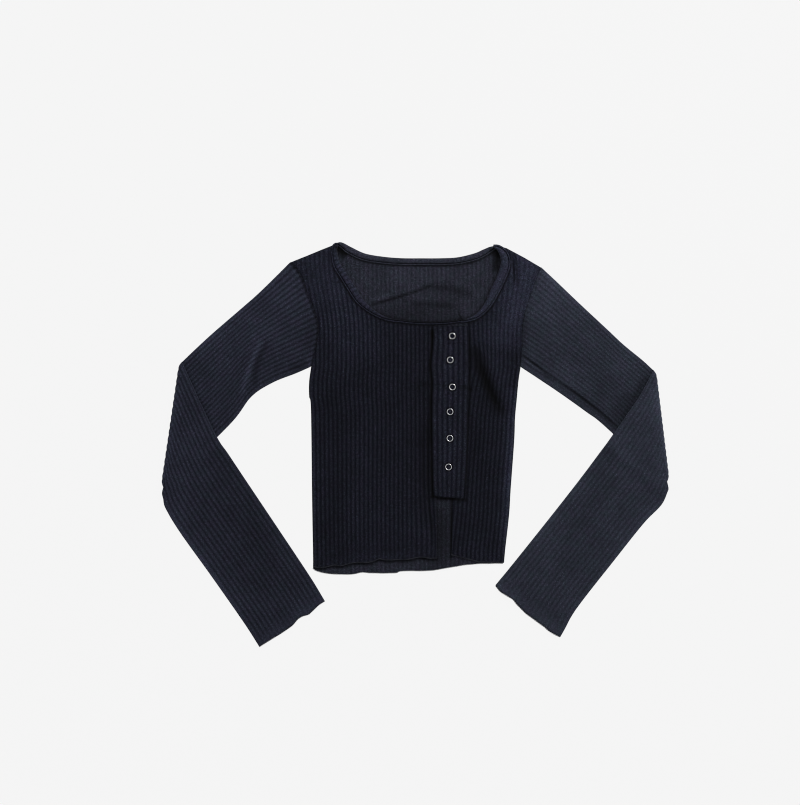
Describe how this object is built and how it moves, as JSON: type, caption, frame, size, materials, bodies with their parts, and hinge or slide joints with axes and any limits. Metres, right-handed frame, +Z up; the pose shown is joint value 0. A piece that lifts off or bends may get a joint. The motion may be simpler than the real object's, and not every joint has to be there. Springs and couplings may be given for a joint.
{
  "type": "cardigan laid flat",
  "caption": "Cropped long-sleeved rib-knit cardigan with a scoop neck and ring snaps, laid flat with both sleeves folded back at the elbow.",
  "frame": {"origin": "the middle of the garment's footprint, on the floor it lies on", "axes": "+X across the chest to the viewer's right (the wearer's left), +Y from hem to neck, +Z up from the floor"},
  "size_m": [0.7116, 0.566, 0.0095],
  "materials": {
    "rib_knit": "matt black-navy rib knit, ribs raised, fine stitch grain",
    "knit_inside": "matt black-navy knit seen from its inside, flatter and grainier",
    "snap_metal": "bright nickel-plated pressed ring"
  },
  "bodies": {
    "root": {"back": "knit_inside", "front_right": "rib_knit", "front_left": "rib_knit", "placket": "rib_knit", "binding_right": "rib_knit", "binding_left": "rib_knit", "binding_back": "rib_knit", "sleeve_right": "rib_knit", "sleeve_left": "rib_knit", "snap_1": "snap_metal", "snap_2": "snap_metal", "snap_3": "snap_metal", "snap_4": "snap_metal", "snap_5": "snap_metal", "snap_6": "snap_metal"}
  },
  "joints": []
}
